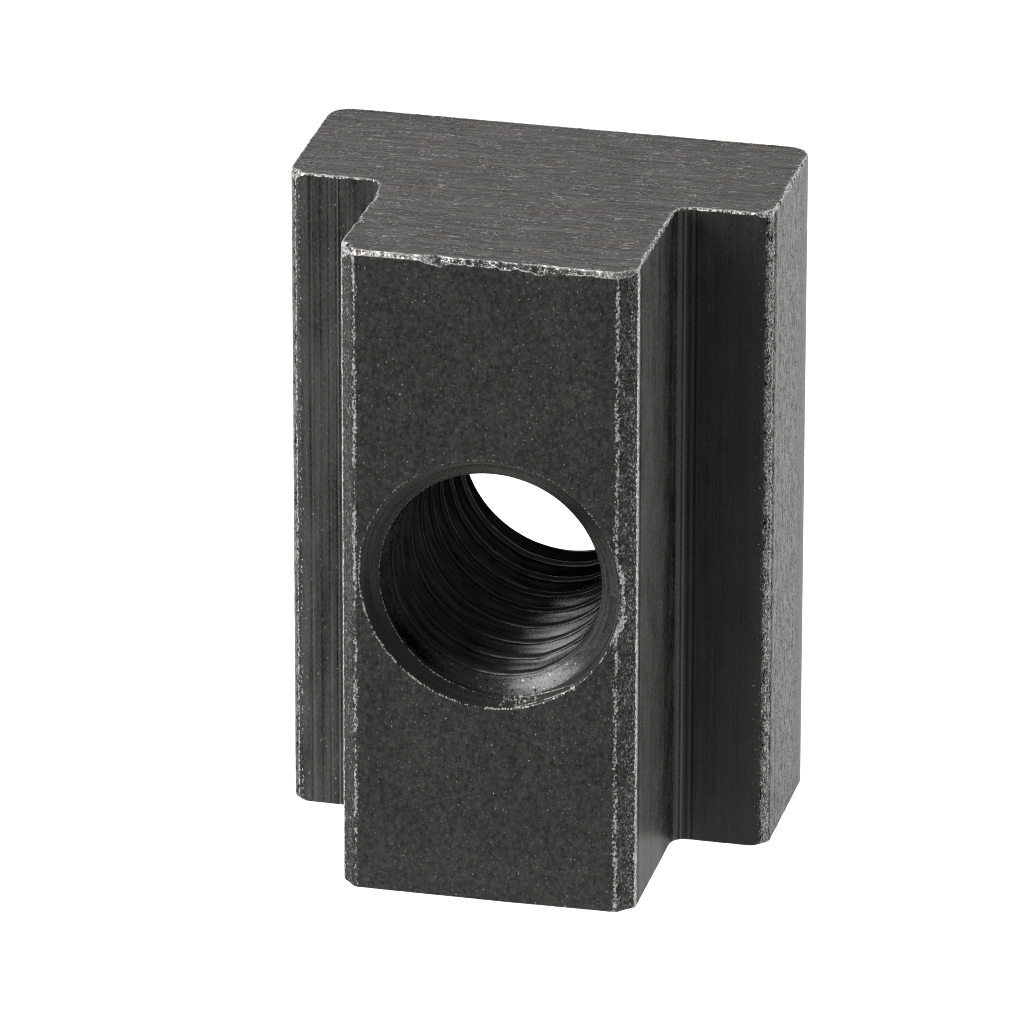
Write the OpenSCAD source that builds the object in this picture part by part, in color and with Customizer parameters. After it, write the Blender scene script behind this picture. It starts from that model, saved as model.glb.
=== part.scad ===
// T-slot nut: a one-piece steel block with a T section and one tapped hole
// through the neck and the flange. It stands on a sawn end: Z runs along the
// slot, X across it, and the neck with the mouth of the hole faces -Y.
// The origin is on the lower end face, at the middle of the block's outline.
// All sizes are in millimetres.

/* [Block] */
// Length of the block along the slot
block_len = 21.5; // [18:0.1:40]
// Total height of the section, from the neck's face to the back
block_h = 11.75; // [10.5:0.05:16]

/* [Flange] */
// Width of the flange, across the slot
flange_w = 15.5; // [14:0.1:20]
// Thickness of the flange under the lips of the slot
flange_t = 5.85; // [4.5:0.05:6.5]
// Radius of the flange's two corners beside the shoulders
flange_front_r = 0.6; // [0.2:0.05:1.2]
// Radius of the flange's two corners at the back
flange_back_r = 0.75; // [0.2:0.05:1.2]

/* [Neck] */
// Width of the neck that stands in the slot
neck_w = 9.4; // [9:0.05:10.5]
// Chamfer on the neck's two long front corners
neck_chamfer = 0.5; // [0.1:0.05:0.6]
// Radius in the two roots where the neck meets the shoulders
root_r = 0.5; // [0.2:0.05:1]
// Sideways offset of the neck from the middle of the flange
neck_dx = 0.025; // [-0.2:0.025:0.2]

/* [Tapped hole] */
// Diameter of the hole at the crests of its M8 x 1.25 thread
bore_d = 6.8; // [6.65:0.05:6.9]
// Diameter of the countersinks where they meet the outer faces
sink_d = 8.3; // [7.6:0.1:8.8]
// Angle of the countersinks, from side to side
sink_angle = 90; // [80:5:120]
// Sideways offset of the hole from the middle of the flange
hole_dx = 0.15; // [-0.2:0.05:0.2]

/* [Ends] */
// Bevel along the edges of the two sawn end faces
end_break = 0.15; // [0.05:0.05:0.15]

/* [Hidden] */
neck_h = block_h - flange_t;     // how far the neck stands above the shoulders
front_y = -block_h / 2;          // the neck's face, with the mouth of the hole
shoulder_y = front_y + neck_h;   // the faces that bear on the slot's lips
back_y = block_h / 2;            // the flange's back
neck_x0 = neck_dx - neck_w / 2;  // the neck's left side
neck_x1 = neck_dx + neck_w / 2;  // the neck's right side
sink_depth = (sink_d - bore_d) / 2 / tan(sink_angle / 2);  // from the face to the bore
eps = 0.01;
$fn = 96;

// A rectangle from (x0, y0) to (x1, y1) with its own radius at each end in Y
module round_rect(x0, y0, x1, y1, r_low, r_high) {
    difference() {
        translate([x0, y0]) square([x1 - x0, y1 - y0]);
        for (c = [[x0, y0, 1, 1, r_low], [x1, y0, -1, 1, r_low],
                  [x0, y1, 1, -1, r_high], [x1, y1, -1, -1, r_high]])
            corner_cut(c[0], c[1], c[2], c[3], c[4]);
    }
}

// The sliver between a square corner at (x, y) and its rounding of radius r,
// whose centre lies towards (sx, sy). It comes off a corner that stands out,
// and it is the fillet that fills in a root.
module corner_cut(x, y, sx, sy, r) {
    difference() {
        translate([x + (sx > 0 ? -eps : -r), y + (sy > 0 ? -eps : -r)])
            square([r + eps, r + eps]);
        translate([x + sx * r, y + sy * r]) circle(r = r);
    }
}

// The neck's outline, its front corners chamfered, reaching into the flange
module neck_2d() {
    c = neck_chamfer;
    polygon([
        [neck_x0 + c, front_y], [neck_x1 - c, front_y],
        [neck_x1, front_y + c], [neck_x1, shoulder_y + 1],
        [neck_x0, shoulder_y + 1], [neck_x0, front_y + c]
    ]);
}

// The drawn T section
module section_2d() {
    union() {
        round_rect(-flange_w / 2, shoulder_y, flange_w / 2, back_y,
                   flange_front_r, flange_back_r);
        neck_2d();
        corner_cut(neck_x1, shoulder_y, 1, -1, root_r);
        corner_cut(neck_x0, shoulder_y, -1, -1, root_r);
    }
}

// One end of the hole: the countersink, opening towards -Y with its mouth on
// the plane Y = 0
module hole_mouth() {
    rotate([90, 0, 0]) rotate_extrude()
        polygon([
            [0, -sink_depth], [bore_d / 2, -sink_depth], [sink_d / 2, 0],
            [sink_d / 2, eps * 5], [0, eps * 5]
        ]);
}

// The whole hole, through the neck and the flange
module tapped_hole() {
    translate([hole_dx, 0, block_len / 2]) {
        rotate([-90, 0, 0])
            translate([0, 0, front_y - 1])
                cylinder(d = bore_d, h = block_h + 2);
        translate([0, front_y, 0]) hole_mouth();
        translate([0, back_y, 0]) mirror([0, 1, 0]) hole_mouth();
    }
}

// The bevel that deburring leaves around the two end faces. The outline is
// walked counter-clockwise, so that the block is on the left of each edge.
module end_bevels() {
    c = neck_chamfer;
    w = flange_w / 2;
    rf = flange_front_r;
    rb = flange_back_r;
    past = 0.2;  // edges run on past the corners that stand out
    for (m = [0, 1])
        translate([0, 0, m * block_len]) mirror([0, 0, m]) {
            edge_bevel([neck_x0 + c, front_y], [neck_x1 - c, front_y], past, past);
            edge_bevel([neck_x1 - c, front_y], [neck_x1, front_y + c], past, past);
            edge_bevel([neck_x1, front_y + c], [neck_x1, shoulder_y - root_r], past, 0);
            root_bevel(neck_x1 + root_r, shoulder_y - root_r);
            edge_bevel([neck_x1 + root_r, shoulder_y], [w - rf, shoulder_y], 0, past);
            corner_bevel(w - rf, shoulder_y + rf, 270, rf);
            edge_bevel([w, shoulder_y + rf], [w, back_y - rb], past, past);
            corner_bevel(w - rb, back_y - rb, 0, rb);
            edge_bevel([w - rb, back_y], [rb - w, back_y], past, past);
            corner_bevel(rb - w, back_y - rb, 90, rb);
            edge_bevel([-w, back_y - rb], [-w, shoulder_y + rf], past, past);
            corner_bevel(rf - w, shoulder_y + rf, 180, rf);
            edge_bevel([rf - w, shoulder_y], [neck_x0 - root_r, shoulder_y], past, 0);
            root_bevel(neck_x0 - root_r, shoulder_y - root_r);
            edge_bevel([neck_x0, shoulder_y - root_r], [neck_x0, front_y + c], 0, past);
            edge_bevel([neck_x0, front_y + c], [neck_x0 + c, front_y], past, past);
        }
}

// What the bevel takes off a straight edge from p to q, run on by the lengths
// before and after
module edge_bevel(p, q, before, after) {
    d = q - p;
    translate([p[0], p[1], 0]) rotate([0, 0, atan2(d[1], d[0])])
        translate([-before, 0, 0]) rotate([90, 0, 90])
            linear_extrude(norm(d) + before + after)
                polygon([[-0.3, -eps], [-0.3, end_break], [0, end_break],
                         [end_break, 0], [end_break, -eps]]);
}

// The same on a rounded corner of radius r about (x, y), which starts at the
// angle turn
module corner_bevel(x, y, turn, r) {
    translate([x, y, 0]) rotate([0, 0, turn])
        difference() {
            translate([0, 0, -eps]) cube([r + 0.3, r + 0.3, end_break + eps]);
            translate([0, 0, -eps]) cylinder(r = r - end_break, h = 2 * eps);
            cylinder(r1 = r - end_break, r2 = r, h = end_break);
        }
}

// The same in a root, whose fillet is about (x, y)
module root_bevel(x, y) {
    translate([x, y, 0]) {
        cylinder(r1 = root_r + end_break, r2 = root_r, h = end_break);
        translate([0, 0, -eps]) cylinder(r = root_r + end_break, h = eps);
    }
}

module nut_body() {
    color([0.20, 0.20, 0.21])
        difference() {
            linear_extrude(block_len) section_2d();
            tapped_hole();
            end_bevels();
        }
}

nut_body();
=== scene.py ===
# The looks of the slot nut: its drawn and sawn faces, worn edges and cut
# thread as one detailed mesh, a white studio and the photograph's camera.
# Lengths in here are millimetres until a mesh is made from them.

import math

import bpy
import numpy as np
from mathutils import Matrix, Vector


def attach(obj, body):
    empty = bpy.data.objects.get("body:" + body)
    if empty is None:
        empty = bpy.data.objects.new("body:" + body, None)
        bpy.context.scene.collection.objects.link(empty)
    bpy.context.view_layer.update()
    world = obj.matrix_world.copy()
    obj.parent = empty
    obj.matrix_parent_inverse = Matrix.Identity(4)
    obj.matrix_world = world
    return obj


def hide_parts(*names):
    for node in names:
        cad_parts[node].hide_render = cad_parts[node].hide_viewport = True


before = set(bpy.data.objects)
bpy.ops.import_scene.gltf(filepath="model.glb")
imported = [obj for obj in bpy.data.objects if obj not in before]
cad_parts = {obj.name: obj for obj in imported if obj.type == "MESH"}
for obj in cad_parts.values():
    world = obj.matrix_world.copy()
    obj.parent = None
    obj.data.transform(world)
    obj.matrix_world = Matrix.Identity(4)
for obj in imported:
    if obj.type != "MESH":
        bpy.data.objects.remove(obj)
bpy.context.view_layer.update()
scene = bpy.context.scene
MM = 0.001

# ---------------------------------------------------------------- the block
L = 21.5                       # along Z
Y0, YS, YB = -5.875, 0.025, 5.875   # neck's face, shoulders, back
NX0, NX1 = -4.675, 4.725       # the neck's sides
FW = 7.75                      # half the flange
CH, CR = 0.5, 0.2              # the neck's front corners and their soft edges
RR, RF, RB = 0.5, 0.6, 0.75    # root fillets, flange corners front and back
HX, HZ = 0.16, 10.747          # the hole's axis
PITCH = 1.25


# ------------------------------------------------------------ repeatable noise
def table(seed, n=4096):
    return np.random.RandomState(seed).uniform(-1, 1, n)


def noise1(x, seed, period=1.0):
    """Smooth noise along one line, about -1 to 1, with features of that length."""
    t = table(seed)
    x = np.asarray(x, float) / period + 1000.0
    i = np.floor(x).astype(int)
    f = x - i
    f = f * f * (3 - 2 * f)
    return t[i % t.size] * (1 - f) + t[(i + 1) % t.size] * f


def noise2(x, y, seed, px=1.0, py=1.0):
    t = table(seed, 65536).reshape(256, 256)
    x = np.asarray(x, float) / px + 1000.0
    y = np.asarray(y, float) / py + 1000.0
    i, j = np.floor(x).astype(int), np.floor(y).astype(int)
    f, g = x - i, y - j
    f, g = f * f * (3 - 2 * f), g * g * (3 - 2 * g)
    a = t[i % 256, j % 256] * (1 - f) + t[(i + 1) % 256, j % 256] * f
    b = t[i % 256, (j + 1) % 256] * (1 - f) + t[(i + 1) % 256, (j + 1) % 256] * f
    return a * (1 - g) + b * g


def fbm1(x, seed, period, octaves=3):
    return sum(noise1(x, seed + k, period / 2**k) / 2**k for k in range(octaves)) / (2 - 2 ** (1 - octaves))


def smooth(a, b, x):
    t = np.clip((np.asarray(x, float) - a) / (b - a), 0, 1)
    return t * t * (3 - 2 * t)


# --------------------------------------------------------------- the T outline
# Walked counter-clockwise seen from above. Each point has a place, a direction
# into the metal, the part that it is on, and whether its column runs the whole
# length or only through the fine band at each end.
FRONT, CORNER_R, NECK_R, ROOT_R, SHOULDER_R, FLANGE_RF, SIDE_R, FLANGE_RB, BACK = range(9)
FLANGE_LB, SIDE_L, FLANGE_LF, SHOULDER_L, ROOT_L, NECK_L, CORNER_L = range(9, 16)
outline = []


def straight(part, p, q, step, keep_step, lip=0.05):
    """Points from p to q, q left out; a full column at both ends and just inside them."""
    p, q = np.array(p, float), np.array(q, float)
    d = q - p
    n = np.array([-d[1], d[0]]) / np.hypot(*d)
    length = np.hypot(*d)
    marks = [0.0, lip]
    inner = length - 2 * lip
    k = max(1, round(inner / step))
    marks += [lip + inner * i / k for i in range(1, k)]
    marks += [length - lip]
    every = max(1, round(keep_step / (inner / k)))
    for i, m in enumerate(marks):
        full = i < 2 or i == len(marks) - 1 or (i - 1) % every == 0
        outline.append((*(p + d * m / length), *n, part, full))


def arc(part, c, r, a0, a1, n, inward=1, first=0, centre=None):
    """Points on an arc from a0, a1 left out; they move towards the centre, or away from it in a root."""
    for i in range(first, n):
        a = math.radians(a0 + (a1 - a0) * i / n)
        x, y = c[0] + r * math.cos(a), c[1] + r * math.sin(a)
        m = centre or c
        d = np.array([m[0] - x, m[1] - y]) * inward
        d /= np.hypot(*d)
        outline.append((x, y, *d, part, True))


def neck_corner(part, x, sx):
    """A chamfer with soft edges between the neck's face and its side, walked counter-clockwise."""
    t = CR * math.tan(math.radians(22.5))
    far = CH + t
    c = (x - sx * far, Y0 + far)
    pts = []
    for (a0, a1, cx, cy) in ((-90, -45, far, CR), (-45, 0, CR, far)):
        for i in range(5):
            a = math.radians(a0 + (a1 - a0) * i / 4)
            pts.append((-cx + CR * math.cos(a), cy + CR * math.sin(a)))
    pts = pts[:5] + [(pts[4][0] * (1 - k) + pts[5][0] * k, pts[4][1] * (1 - k) + pts[5][1] * k) for k in (0.2, 0.4, 0.6, 0.8)] + pts[5:]
    pts = pts[:-1] if sx > 0 else pts[:0:-1]
    for px, py in pts:
        X, Y = x + sx * px, Y0 + py
        d = np.array([c[0] - X, c[1] - Y])
        d /= np.hypot(*d)
        outline.append((X, Y, *d, part, True))


far = CH + CR * math.tan(math.radians(22.5))
straight(FRONT, (NX0 + far, Y0), (NX1 - far, Y0), 0.05, 1.2)
neck_corner(CORNER_R, NX1, 1)
straight(NECK_R, (NX1, Y0 + far), (NX1, YS - RR), 0.1, 1.5)
arc(ROOT_R, (NX1 + RR, YS - RR), RR, 180, 90, 14, -1)
straight(SHOULDER_R, (NX1 + RR, YS), (FW - RF, YS), 0.1, 0.5)
arc(FLANGE_RF, (FW - RF, YS + RF), RF, -90, 0, 10)
straight(SIDE_R, (FW, YS + RF), (FW, YB - RB), 0.12, 1.5)
arc(FLANGE_RB, (FW - RB, YB - RB), RB, 0, 90, 10)
straight(BACK, (FW - RB, YB), (RB - FW, YB), 0.15, 3)
arc(FLANGE_LB, (RB - FW, YB - RB), RB, 90, 180, 10)
straight(SIDE_L, (-FW, YB - RB), (-FW, YS + RF), 0.12, 1.5)
arc(FLANGE_LF, (RF - FW, YS + RF), RF, 180, 270, 10)
straight(SHOULDER_L, (RF - FW, YS), (NX0 - RR, YS), 0.1, 0.5)
arc(ROOT_L, (NX0 - RR, YS - RR), RR, 90, 0, 14, -1)
straight(NECK_L, (NX0, YS - RR), (NX0, Y0 + far), 0.1, 1.5)
neck_corner(CORNER_L, NX0, -1)

O = np.array([o[:4] for o in outline])
part = np.array([o[4] for o in outline])
full = np.array([o[5] for o in outline])
xy, inward = O[:, :2], O[:, 2:4]
step = np.hypot(*(np.roll(xy, -1, 0) - xy).T)
S = np.concatenate([[0], np.cumsum(step)[:-1]])   # way along the outline
PERIMETER = step.sum()
N = len(S)


# ---------------------------------------------- how the sawn ends' edges are worn
def bell(v, at, width):
    return np.exp(-((v - at) / width) ** 2)


def end_edge(top):
    """For each outline point: the height of the broken edge, and how far it goes in."""
    seed = 100 if top else 400
    x, y = xy[:, 0], xy[:, 1]
    on_front = (part == FRONT) | (part == CORNER_L) | (part == CORNER_R)
    flange_corner = bell((np.abs(x) - FW) + (y - YS), 0.0, 0.32) * ((part == FLANGE_RF) | (part == FLANGE_LF))
    rough = 0.018 * fbm1(S, seed, 0.6) + 0.014 * noise1(S, seed + 5, 0.12)
    if top:
        h = 0.062 + rough
        inn = 0.022 + 0.5 * rough
        # the neck's left edge is rolled over in three shallow bites
        bite = 0.14 * bell(y, -1.5, 0.55) + 0.07 * bell(y, -2.55, 0.45) + 0.13 * bell(y, -3.4, 0.32) + 0.04 * bell(y, -4.2, 0.3)
        h = np.where(part == NECK_L, 0.07 + 1.1 * bite + rough, h)
        inn = np.where(part == NECK_L, 0.02 + bite + 0.6 * rough, inn)
        right = (part == NECK_R) | (part == SIDE_R) | (part == FLANGE_RF)
        h = np.where(right, 0.095 + 1.8 * rough + 0.035 * noise1(S, 38, 0.16), h)
        inn = np.where(right, 0.055 + 1.2 * rough + 0.035 * noise1(S, 39, 0.16), inn)
        ledge = (part == SHOULDER_L) | (part == SHOULDER_R)
        wave = 0.5 + 0.5 * noise1(S, 37, 0.33)
        h = np.where(ledge, 0.04 + 0.055 * wave + 0.4 * rough, h)
        inn = np.where(ledge, 0.03 + 0.025 * wave, inn)
        left = flange_corner * (x < 0)
        h = h + 0.17 * flange_corner + 0.05 * left
        inn = inn + 0.10 * flange_corner + 0.03 * left
        # its front edge is burred and chipped in a row of scallops
        rs = np.random.RandomState(7)
        f = np.zeros(N)
        c = -4.9
        while c < 5.0:
            w = rs.uniform(0.16, 0.42)
            deep = rs.uniform(0.15, 0.27)
            u = (x - c) / w
            f = np.maximum(f, deep * np.sqrt(np.clip(1 - u * u, 0, 1)))
            c += w * rs.uniform(0.75, 1.35)
        f = np.maximum(f, 0.085 + 0.02 * noise1(x, 12, 0.2))
        f += 0.11 * bell(x, -1.45, 0.22) + 0.07 * bell(x, 1.75, 0.3)
        f += 0.2 * smooth(-4.15, -4.6, x)
        f = np.where(x > 2.6, np.minimum(f, 0.19), f)
        f *= 1 - 0.45 * smooth(4.5, 4.72, x)
        # towards the left the scallops run together into one even strip
        even = smooth(-1.9, -2.9, x) * smooth(-4.45, -4.1, x)
        f = f * (1 - 0.7 * even) + 0.7 * even * (0.155 + 0.02 * noise1(x, 13, 0.5))
        h = np.where(on_front, f, h)
        inn = np.where(on_front, np.clip(0.50 * f + 0.02 * fbm1(S, 31, 0.3), 0.03, 0.24), inn)
    else:
        h = 0.05 + rough
        inn = 0.018 + 0.4 * rough
        h = np.where(part == FRONT, h + 0.07 * smooth(0.0, 4.0, x), h)
        inn = np.where(part == FRONT, inn + 0.06 * smooth(0.0, 4.0, x), inn)
        h = np.where(part == CORNER_R, 0.20 + rough, h)
        inn = np.where(part == CORNER_R, 0.085 + 0.4 * rough, inn)
        right = flange_corner * (x > 0)
        left = flange_corner * (x < 0)
        h, inn = h + 0.20 * right + 0.14 * left, inn + 0.07 * right + 0.06 * left
    return np.clip(h, 0.03, 0.5), np.clip(inn, 0.006, 0.3)


H_TOP, I_TOP = end_edge(True)
H_BOT, I_BOT = end_edge(False)

# The rows of a band, as shares of the broken edge's height, then in millimetres
U_ROWS = [0.0, 0.1, 0.25, 0.42, 0.6, 0.78, 0.92, 1.0, 1.08, 1.3]
BAND = 0.8


def side_offset(t_top, t_bot, s_ix, z):
    """How far the skin lies inside the plain outline at a height z on outline point s_ix."""
    off = np.zeros(np.broadcast(s_ix, z).shape)
    pr = part[s_ix]
    # long edges of the neck: small flats and nicks down their length
    for p, seed in ((CORNER_R, 211), (CORNER_L, 231)):
        m = pr == p
        a = 0.007 * (1 + noise2(S[s_ix] * 4, z, seed, 0.5, 0.7)) + 0.006 * (1 + noise2(S[s_ix] * 4, z, seed + 1, 0.5, 0.22))
        off = np.where(m, off + a, off)
    for p, seed in ((FLANGE_RF, 251), (FLANGE_LF, 261)):
        m = pr == p
        off = np.where(m, off + 0.005 * (1 + noise2(S[s_ix] * 4, z, seed, 1.0, 0.4)), off)
    return off


def draw_ridges():
    """Die lines along the roots and shoulders, as a profile that is the same at every height."""
    d = np.zeros(N)
    r = (part == ROOT_R) | (part == SHOULDER_R)
    q = xy[:, 0] - NX1
    for at, w, deep in ((0.13, 0.05, 0.012), (0.30, 0.045, 0.022), (0.46, 0.05, -0.008), (0.62, 0.04, 0.016), (1.8, 0.06, 0.006)):
        d = np.where(r, d + deep * np.exp(-((q - at) / w) ** 2), d)
    l = (part == ROOT_L) | (part == SHOULDER_L)
    q = NX0 - xy[:, 0]
    for at, w, deep in ((0.25, 0.06, 0.015), (0.52, 0.05, 0.012), (0.9, 0.07, 0.01), (1.4, 0.06, 0.012), (1.9, 0.08, 0.008), (2.35, 0.05, 0.01)):
        d = np.where(l, d + deep * np.exp(-((q - at) / w) ** 2), d)
    return d


RIDGE = draw_ridges()


def skin_mesh():
    """The outside of the block without its hole, as vertices and faces."""
    verts, faces = [], []
    every = np.arange(N)
    kept = every[full]

    def row(cols, z, extra):
        """A row of vertices at heights z, moved in by extra; returns their numbers."""
        base = len(verts)
        off = side_offset(None, None, cols, z) + RIDGE[cols] + extra
        p = xy[cols] + inward[cols] * off[:, None]
        verts.extend(np.column_stack([p, np.broadcast_to(z, (len(cols),))]).tolist())
        return list(range(base, base + len(cols)))

    def stitch(a, b):
        """Quads between two rows with the same columns, a below b."""
        k = len(a)
        for i in range(k):
            j = (i + 1) % k
            faces.append((a[i], a[j], b[j], b[i]))

    def fan_stitch(fine, coarse, fine_above):
        """Between a row with every column and one with the kept columns only."""
        k = len(kept)
        for i in range(k):
            c0, c1 = kept[i], kept[(i + 1) % k]
            run = list(range(c0, c1 + 1)) if c1 > c0 else list(range(c0, N)) + list(range(0, c1 + 1))
            f = [fine[c] for c in run]
            if fine_above:
                faces.append((coarse[i], coarse[(i + 1) % k], *reversed(f)))
            else:
                faces.append((*f, coarse[(i + 1) % k], coarse[i]))

    def band(top):
        h, inn = (H_TOP, I_TOP) if top else (H_BOT, I_BOT)
        rows = []
        seed = 500 if top else 520
        for u in U_ROWS:
            t = u * h
            f = np.clip(1 - u, 0, 1) ** 1.35
            rough = 0.35 * noise2(S, np.full(N, u), seed, 0.09, 0.3) * np.sin(math.pi * np.clip(u, 0, 1))
            z = L - t if top else t
            rows.append(row(every, z, inn * f * (1 + rough)))
        rows.append(row(every, np.full(N, L - BAND if top else BAND), 0.0))
        return rows

    def cap(outer, top):
        """The sawn face: it drops a little behind the burr along its edge, then runs flat."""
        h, inn = (H_TOP, I_TOP) if top else (H_BOT, I_BOT)
        rings = [outer]
        for inset, drop in ((0.03, 0.004), (0.08, 0.016), (0.16, 0.02), (0.24, 0.02)):
            if not top:
                drop = 0.0
            base = len(verts)
            off = side_offset(None, None, every, np.full(N, L if top else 0.0)) + RIDGE + inn + inset
            p = xy + inward * off[:, None]
            z = np.full(N, L - drop if top else drop)
            verts.extend(np.column_stack([p, z]).tolist())
            rings.append(list(range(base, base + N)))
        for a, b in zip(rings, rings[1:]):
            for i in range(N):
                j = (i + 1) % N
                faces.append((a[i], a[j], b[j], b[i]) if top else (a[j], a[i], b[i], b[j]))
        last = rings[-1]
        faces.append(tuple(last) if top else tuple(reversed(last)))

    low = band(False)
    for a, b in zip(low, low[1:]):
        stitch(a, b)
    high = band(True)
    for a, b in zip(high, high[1:]):
        stitch(b, a)
    zs = np.linspace(BAND, L - BAND, 141)[1:-1]
    mids = [row(kept, np.full(len(kept), z), 0.0) for z in zs]
    fan_stitch(low[-1], mids[0], False)
    for a, b in zip(mids, mids[1:]):
        stitch(a, b)
    fan_stitch(high[-1], mids[-1], True)
    cap(low[0], False)
    cap(high[0], True)
    return np.array(verts), faces


# --------------------------------------------------------------------- the hole
DEPTH = YB - Y0
# one turn of the thread: place in the pitch, and height of the groove there
THREAD = [(0.000, 0.00), (0.014, 0.03), (0.038, 0.12), (0.150, 0.54), (0.262, 0.95), (0.285, 1.0), (0.340, 1.0),
          (0.395, 1.0), (0.418, 0.95), (0.530, 0.54), (0.642, 0.12), (0.664, 0.03), (0.680, 0.0), (0.770, -0.01),
          (0.850, -0.012), (0.930, -0.01)]
R_CREST, R_ROOT = 3.405, 4.0
LEAD = 2.27       # depth of the crest's back edge at +X


def at_hole(r, theta, depth):
    """A point round the hole's axis; theta turns from +X towards +Z, depth runs in from the neck's face."""
    return np.stack(np.broadcast_arrays(HX + r * np.cos(theta), Y0 + depth, HZ + r * np.sin(theta)), -1)


def thread_cutter():
    """What the drill and the tap take out: a rod with the ridges of a right-hand helix."""
    n, m = 176, len(THREAD)
    k0, k1 = -3, 9                      # turns, from before the face to past the back
    rows = (k1 - k0) * m
    theta = 2 * math.pi * np.arange(n) / n
    j = np.arange(rows)
    phase = np.array([p for p, _ in THREAD])[j % m] + (j // m) + k0
    amp = np.array([a for _, a in THREAD])[j % m]
    d = LEAD + PITCH * (phase[:, None] - theta[None, :] / (2 * math.pi))
    th = np.broadcast_to(theta, d.shape)
    r = R_CREST + (R_ROOT - R_CREST) * amp[:, None]
    cx, cz = 3.4 * np.cos(th), 3.4 * np.sin(th)
    rough = (noise2(cx, d, 71, 0.5, 0.35) + noise2(cz, d, 74, 0.5, 0.35)) * 0.004 + (noise2(cx, d, 72, 0.16, 0.11) + noise2(cz, d, 75, 0.16, 0.11)) * 0.002
    on_crest = (np.abs(amp) < 0.05)[:, None]
    # crests are torn here and there along their edges
    tear = np.clip(noise2(cx + 0.3 * d, cz, 73, 0.35, 0.4) - 0.35, 0, 1)
    r = r + rough + np.where(on_crest, 0.05 * tear, 0)
    verts = at_hole(r, th, d).reshape(-1, 3)
    idx = lambda jj, ii: jj * n + ii
    faces = []
    for jj in range(rows - 1):
        for ii in range(n - 1):
            faces.append((idx(jj, ii), idx(jj, ii + 1), idx(jj + 1, ii + 1), idx(jj + 1, ii)))
    # at the seam a row meets the one of the turn before, which starts at the same depth
    for jj in range(m, rows - 1):
        faces.append((idx(jj, n - 1), idx(jj - m, 0), idx(jj - m + 1, 0), idx(jj + 1, n - 1)))
    low = [idx(0, i) for i in range(n)] + [idx(j2, n - 1) for j2 in range(1, m + 1)]
    high = [idx(rows - 1, i) for i in range(n - 1, -1, -1)] + [idx(rows - 1 - j2, 0) for j2 in range(1, m + 1)]
    verts = verts.tolist()
    c_low, c_high = len(verts), len(verts) + 1
    verts.append(at_hole(0.0, 0.0, d[0].mean() - 0.6).tolist())
    verts.append(at_hole(0.0, 0.0, d[-1].mean() + 0.6).tolist())
    for loop, c in ((low, c_low), (high, c_high)):
        for a_, b_ in zip(loop, loop[1:] + loop[:1]):
            faces.append((b_, a_, c))
    return np.array(verts), faces


def turned_cutter(profile, n, wobble, seed, back):
    """A closed solid of revolution round the hole's axis, from (depth, radius) points."""
    theta = 2 * math.pi * np.arange(n) / n
    verts, faces = [], []
    for k, (dep, r) in enumerate(profile):
        w = wobble[k]
        cx, cy = r * np.cos(theta), r * np.sin(theta)
        ring = r + w * (noise2(cx, cy, seed, 0.8, 0.8) + 0.7 * noise2(cx, cy, seed + 1, 0.25, 0.25))
        depth = (DEPTH - dep) if back else dep
        verts.extend(at_hole(ring, theta, depth).tolist())
    for k in range(len(profile) - 1):
        for i in range(n):
            j = (i + 1) % n
            q = (k * n + i, k * n + j, (k + 1) * n + j, (k + 1) * n + i)
            faces.append(q)
    first, last = list(range(n)), list(range((len(profile) - 1) * n, len(profile) * n))
    faces.append(tuple(reversed(first)))
    faces.append(tuple(last))
    if not back:
        return np.array(verts), faces
    return np.array(verts), [tuple(reversed(f)) for f in faces]


def countersink(r_face):
    """The profile of a 90 degree cone from the face down past the thread's crests."""
    lip = [(-0.6, r_face + 0.05), (-0.02, r_face + 0.05), (0.0, r_face + 0.022), (0.014, r_face), (0.036, r_face - 0.028)]
    return lip + [(d, r_face + 0.008 - d) for d in (0.07, 0.13, 0.2, 0.28, 0.36, 0.44, 0.52, 0.6, 0.68, 0.76, 0.84, 0.95)]


# ------------------------------------------------------------------ mesh helpers
def volume(verts, faces):
    """Six times the volume that the faces close in; it is below zero when they face inwards."""
    v = np.asarray(verts)
    tris = [(f[0], f[i], f[i + 1]) for f in faces for i in range(1, len(f) - 1)]
    a, b, c = (v[np.array(tris)[:, k]] for k in range(3))
    return float((a * np.cross(b, c)).sum())


def mesh_object(name, verts, faces):
    if volume(verts, faces) < 0:
        faces = [tuple(reversed(f)) for f in faces]
    me = bpy.data.meshes.new(name)
    me.from_pydata((np.asarray(verts) * MM).tolist(), [], faces)
    me.validate()
    ob = bpy.data.objects.new(name, me)
    scene.collection.objects.link(ob)
    return ob


def cut(body, tools):
    for t in tools:
        m = body.modifiers.new(t.name, "BOOLEAN")
        m.operation, m.solver, m.object = "DIFFERENCE", "MANIFOLD", t
    bpy.context.view_layer.update()
    dg = bpy.context.evaluated_depsgraph_get()
    me = bpy.data.meshes.new_from_object(body.evaluated_get(dg))
    body.modifiers.clear()
    old = body.data
    body.data = me
    bpy.data.meshes.remove(old)
    for t in tools:
        d = t.data
        bpy.data.objects.remove(t)
        bpy.data.meshes.remove(d)


nut = mesh_object("nut_body_detail", *skin_mesh())
rod = mesh_object("tap", *thread_cutter())
mouth = mesh_object("countersink", *turned_cutter(countersink(4.15), 320, [0, 0, 0.012, 0.008, 0.004] + [0] * 12, 81, False))
rear = mesh_object("countersink_back", *turned_cutter(countersink(4.15), 256, [0, 0, 0.010, 0.006, 0.003] + [0] * 12, 91, True))
cut(nut, [rod, mouth, rear])
nut.data.name = "nut_body_detail"

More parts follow.
